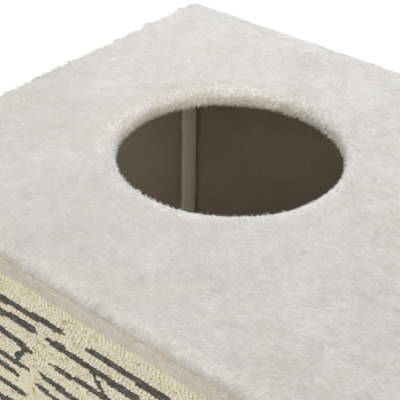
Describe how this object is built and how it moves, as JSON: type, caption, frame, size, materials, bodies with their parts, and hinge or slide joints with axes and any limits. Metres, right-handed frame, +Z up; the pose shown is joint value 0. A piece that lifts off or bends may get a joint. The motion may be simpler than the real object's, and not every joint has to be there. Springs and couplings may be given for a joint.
{
  "type": "cat condo",
  "caption": "Box-shaped cat condo of plush-wrapped boards, with a round way in through the back of its top, a round front door, a felt-lined cabin and a woven scratch mat on one side",
  "frame": {"origin": "on the floor, under the middle of the box", "axes": "+Z is up, -Y is the front with the door, -X is the left side with the scratch mat"},
  "size_m": [0.42, 0.5, 0.4],
  "materials": {
    "plush": "short ivory plush pile",
    "felt_lining": "thin needled felt, taupe",
    "woven_mat": "looped cream mat with dark bark-like marks",
    "particle_board": "raw particle board",
    "zinc_steel": "zinc-plated",
    "staple_wire": "bright drawn wire",
    "foot_plastic": "moulded, fine grain"
  },
  "bodies": {
    "root": {"base_board": "particle_board", "base_cover": "plush", "front_board": "particle_board", "right_board": "particle_board", "back_board": "particle_board", "left_board": "particle_board", "front_cover": "plush", "right_cover": "plush", "back_cover": "plush", "left_cover": "plush", "front_lining": "felt_lining", "right_lining": "felt_lining", "back_lining": "felt_lining", "left_lining": "felt_lining", "top_board": "particle_board", "top_cover": "plush", "ceiling_lining": "felt_lining", "scratch_mat": "woven_mat", "corner_brackets": "zinc_steel", "corner_screws": "zinc_steel", "top_brackets": "zinc_steel", "top_screws": "zinc_steel", "base_screws": "zinc_steel", "hem_staples": "staple_wire", "foot_front_left": "foot_plastic", "foot_front_right": "foot_plastic", "foot_back_left": "foot_plastic", "foot_back_right": "foot_plastic", "foot_nails": "zinc_steel"}
  },
  "joints": []
}
